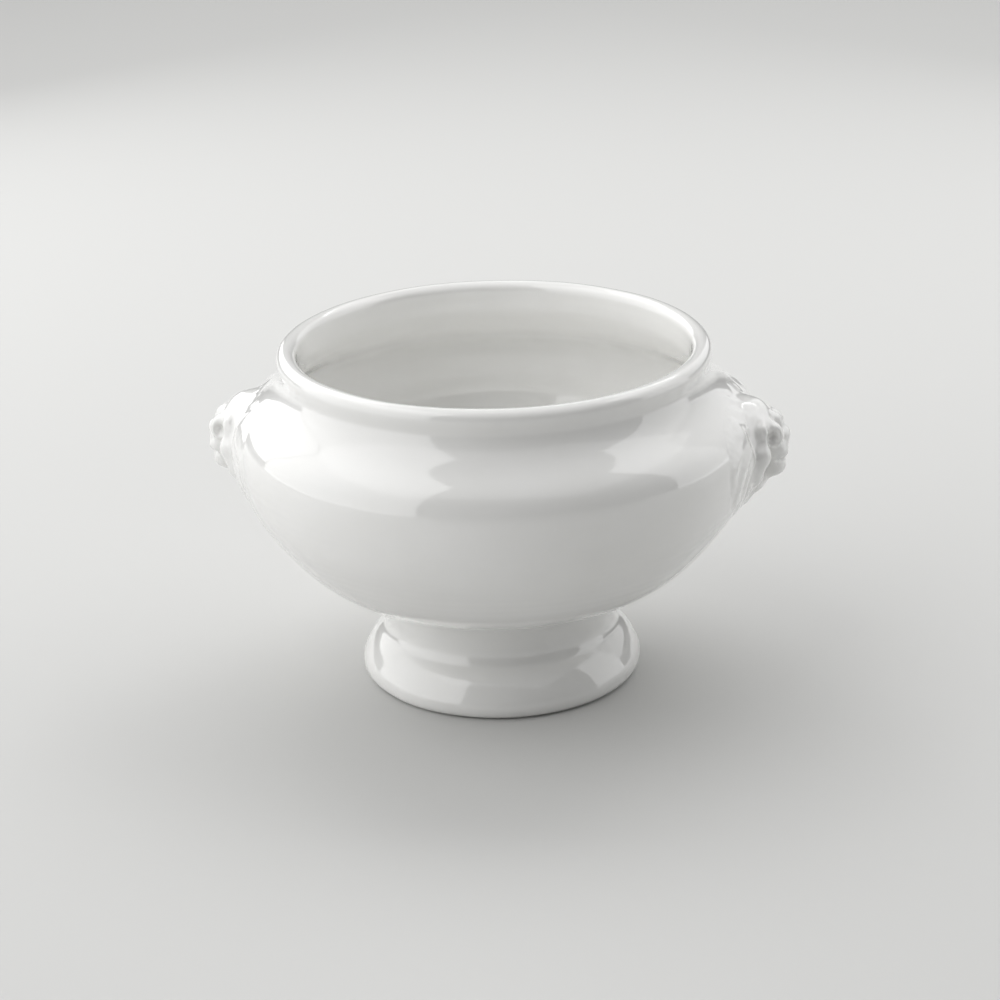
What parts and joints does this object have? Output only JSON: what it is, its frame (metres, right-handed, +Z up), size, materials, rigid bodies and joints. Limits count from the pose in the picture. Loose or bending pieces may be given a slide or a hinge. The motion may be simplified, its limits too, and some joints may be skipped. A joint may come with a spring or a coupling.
{
  "type": "soup tureen",
  "caption": "Open footed soup tureen in white glazed porcelain: full round belly, rolled lip, flared hollow foot, and a lion head in relief on each side as a lug.",
  "frame": {"origin": "centre of the foot's contact ring, on the surface the tureen stands on", "axes": "+Z up along the turning axis, +X out through one lion head, +Y across the front and back"},
  "size_m": [0.1632, 0.1446, 0.0972],
  "materials": {
    "bowl_glaze": "glossy",
    "foot_glaze": "glossy",
    "lion_head_glaze": "glossy"
  },
  "bodies": {
    "root": {"bowl": "bowl_glaze", "foot": "foot_glaze", "lion_head_right": "lion_head_glaze", "lion_head_left": "lion_head_glaze"}
  },
  "joints": []
}
